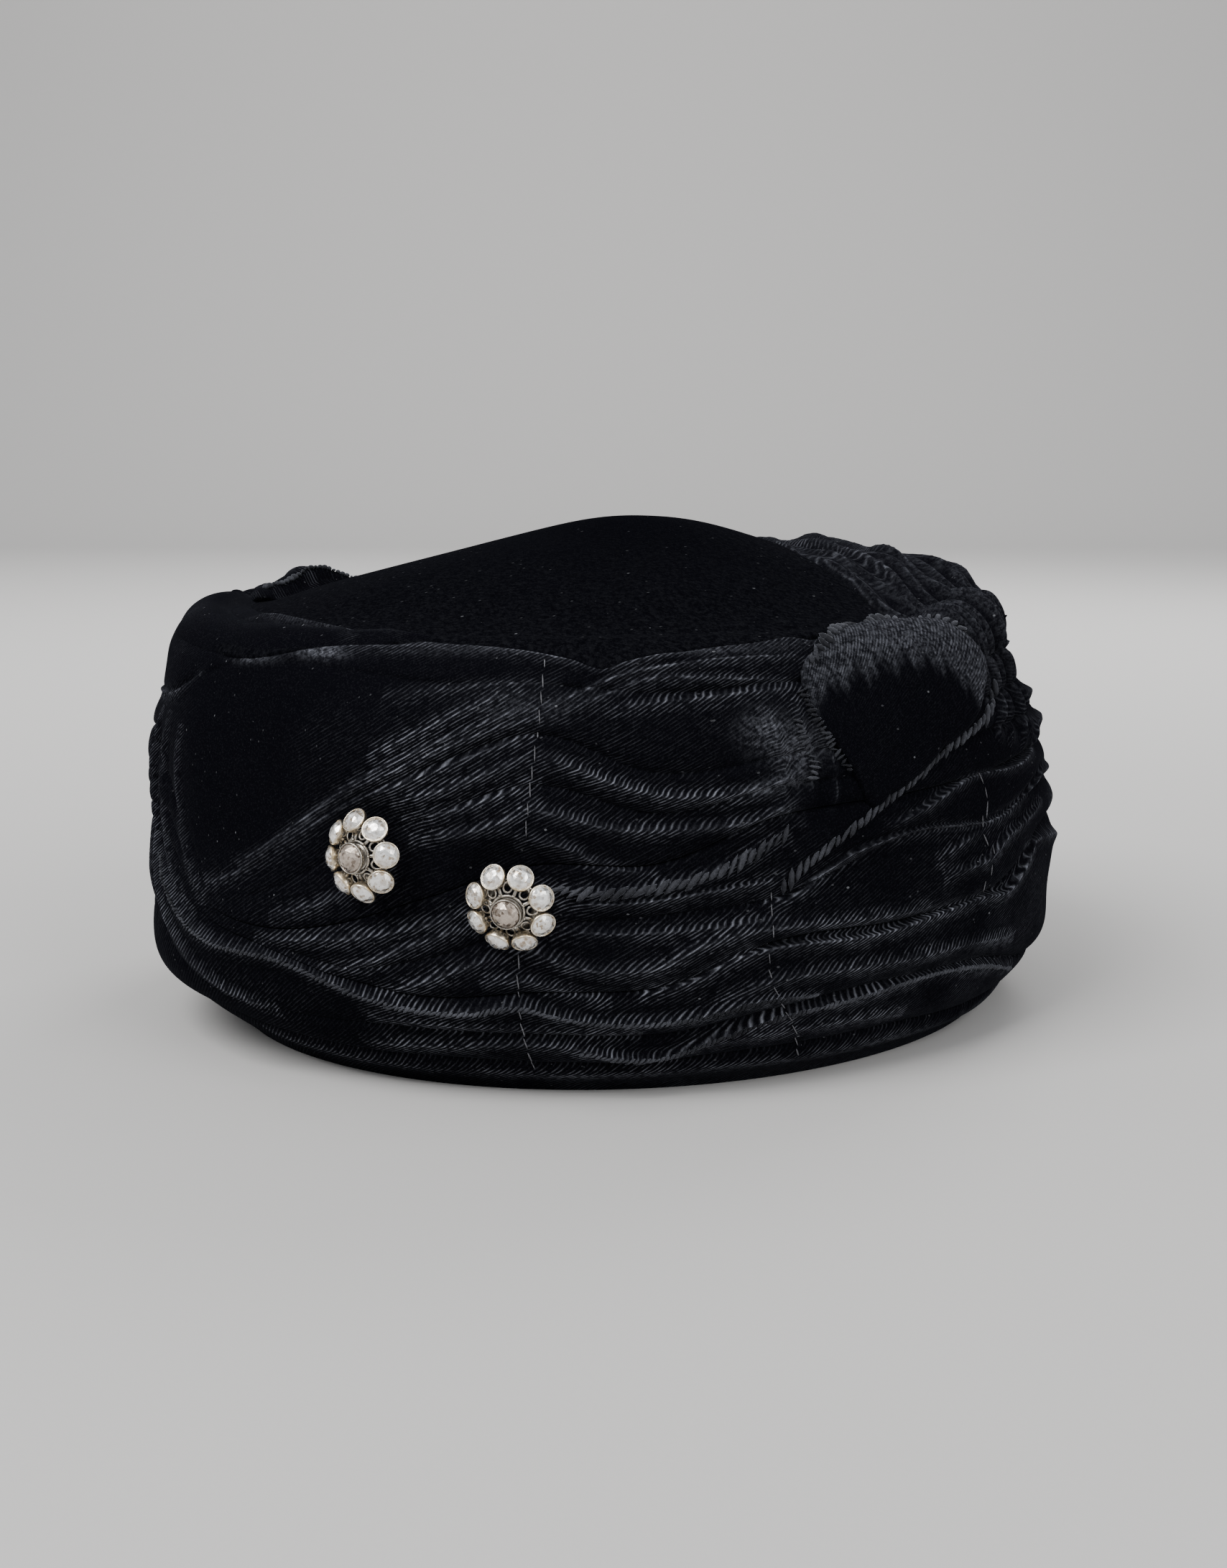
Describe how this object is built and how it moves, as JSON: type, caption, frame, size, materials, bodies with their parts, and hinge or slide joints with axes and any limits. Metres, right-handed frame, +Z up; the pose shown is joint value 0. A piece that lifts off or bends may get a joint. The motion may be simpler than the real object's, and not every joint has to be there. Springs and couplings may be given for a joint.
{
  "type": "draped velvet pillbox hat with two rhinestone flowers",
  "caption": "Oval pillbox hat of black velvet wound in folds round a domed crown, with a puffed side panel, a turned-over front peak and rhinestone flowers.",
  "frame": {"origin": "centre of the hat's outline, at the level of the rim that it rests on", "axes": "+Z up through the crown, -Y to the front, +X to the wearer's left"},
  "size_m": [0.1825, 0.2138, 0.106],
  "materials": {
    "velvet": "black silk velvet, matt with a grey-blue sheen along the folds",
    "aged_metal": "silver-toned metal, worn warm at the edges",
    "clear_stone": "clear foiled glass, cut in facets",
    "smoky_stone": "smoky foiled glass, cut in facets"
  },
  "bodies": {
    "root": {"crown_tip": "velvet", "lower_drape": "velvet", "upper_drape": "velvet", "puffed_panel": "velvet", "front_peak": "velvet", "flower_1_setting": "aged_metal", "flower_1_stone_1": "clear_stone", "flower_1_stone_2": "clear_stone", "flower_1_stone_3": "clear_stone", "flower_1_stone_4": "clear_stone", "flower_1_stone_5": "clear_stone", "flower_1_stone_6": "clear_stone", "flower_1_stone_7": "clear_stone", "flower_1_stone_8": "clear_stone", "flower_1_stone_centre": "smoky_stone", "flower_2_setting": "aged_metal", "flower_2_stone_1": "clear_stone", "flower_2_stone_2": "clear_stone", "flower_2_stone_3": "clear_stone", "flower_2_stone_4": "clear_stone", "flower_2_stone_5": "clear_stone", "flower_2_stone_6": "clear_stone", "flower_2_stone_7": "clear_stone", "flower_2_stone_8": "clear_stone", "flower_2_stone_centre": "smoky_stone"}
  },
  "joints": []
}
